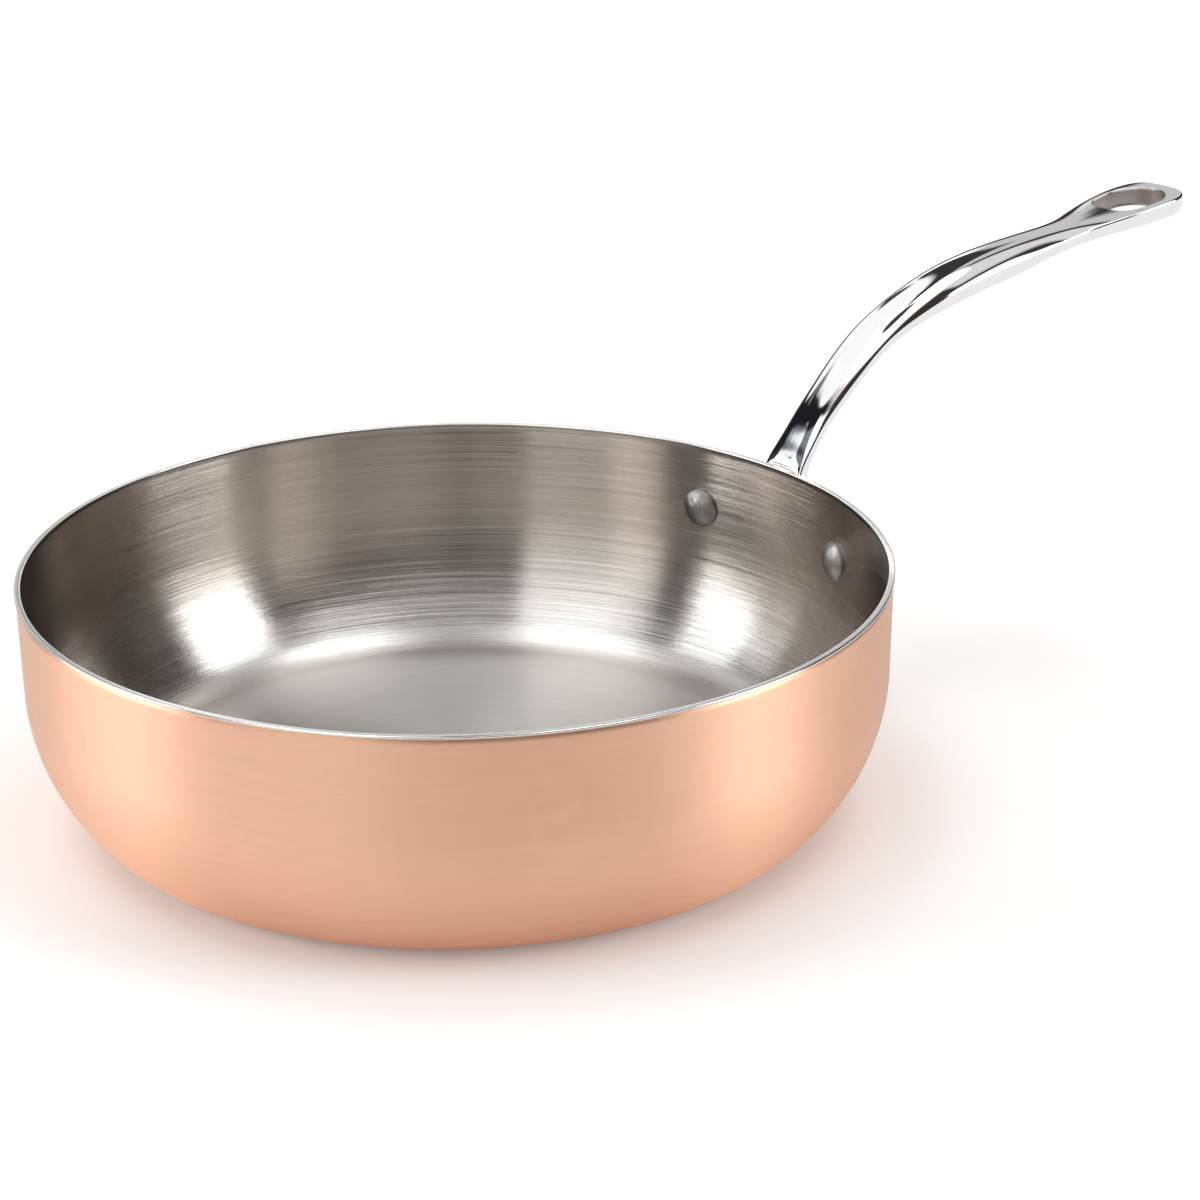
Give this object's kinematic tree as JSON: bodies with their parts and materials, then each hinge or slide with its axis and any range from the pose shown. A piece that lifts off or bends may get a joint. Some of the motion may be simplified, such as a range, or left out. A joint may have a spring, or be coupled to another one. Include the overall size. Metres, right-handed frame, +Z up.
{
  "type": "saute pan",
  "caption": "Round pan with a flat base, curved lower sides and straight upper walls, a copper outside, a steel inside and a long riveted handle with a hanging eye.",
  "frame": {"origin": "centre of the underside of the flat base", "axes": "+Z up along the bowl's axis; +X along the handle, from the bowl's centre towards the tip; +Y to the left as seen from the bowl's centre looking along the handle"},
  "size_m": [0.4743, 0.28, 0.1515],
  "materials": {
    "copper": "satin brushed copper",
    "core": "plain rolled aluminium",
    "lining": "brushed in rings round the bowl",
    "handle": "mirror polished cast stainless steel",
    "rivet": "matt"
  },
  "bodies": {
    "root": {"copper_skin": "copper", "aluminium_core": "core", "steel_lining": "lining", "handle": "handle", "rivet_left": "rivet", "rivet_right": "rivet"}
  },
  "joints": []
}
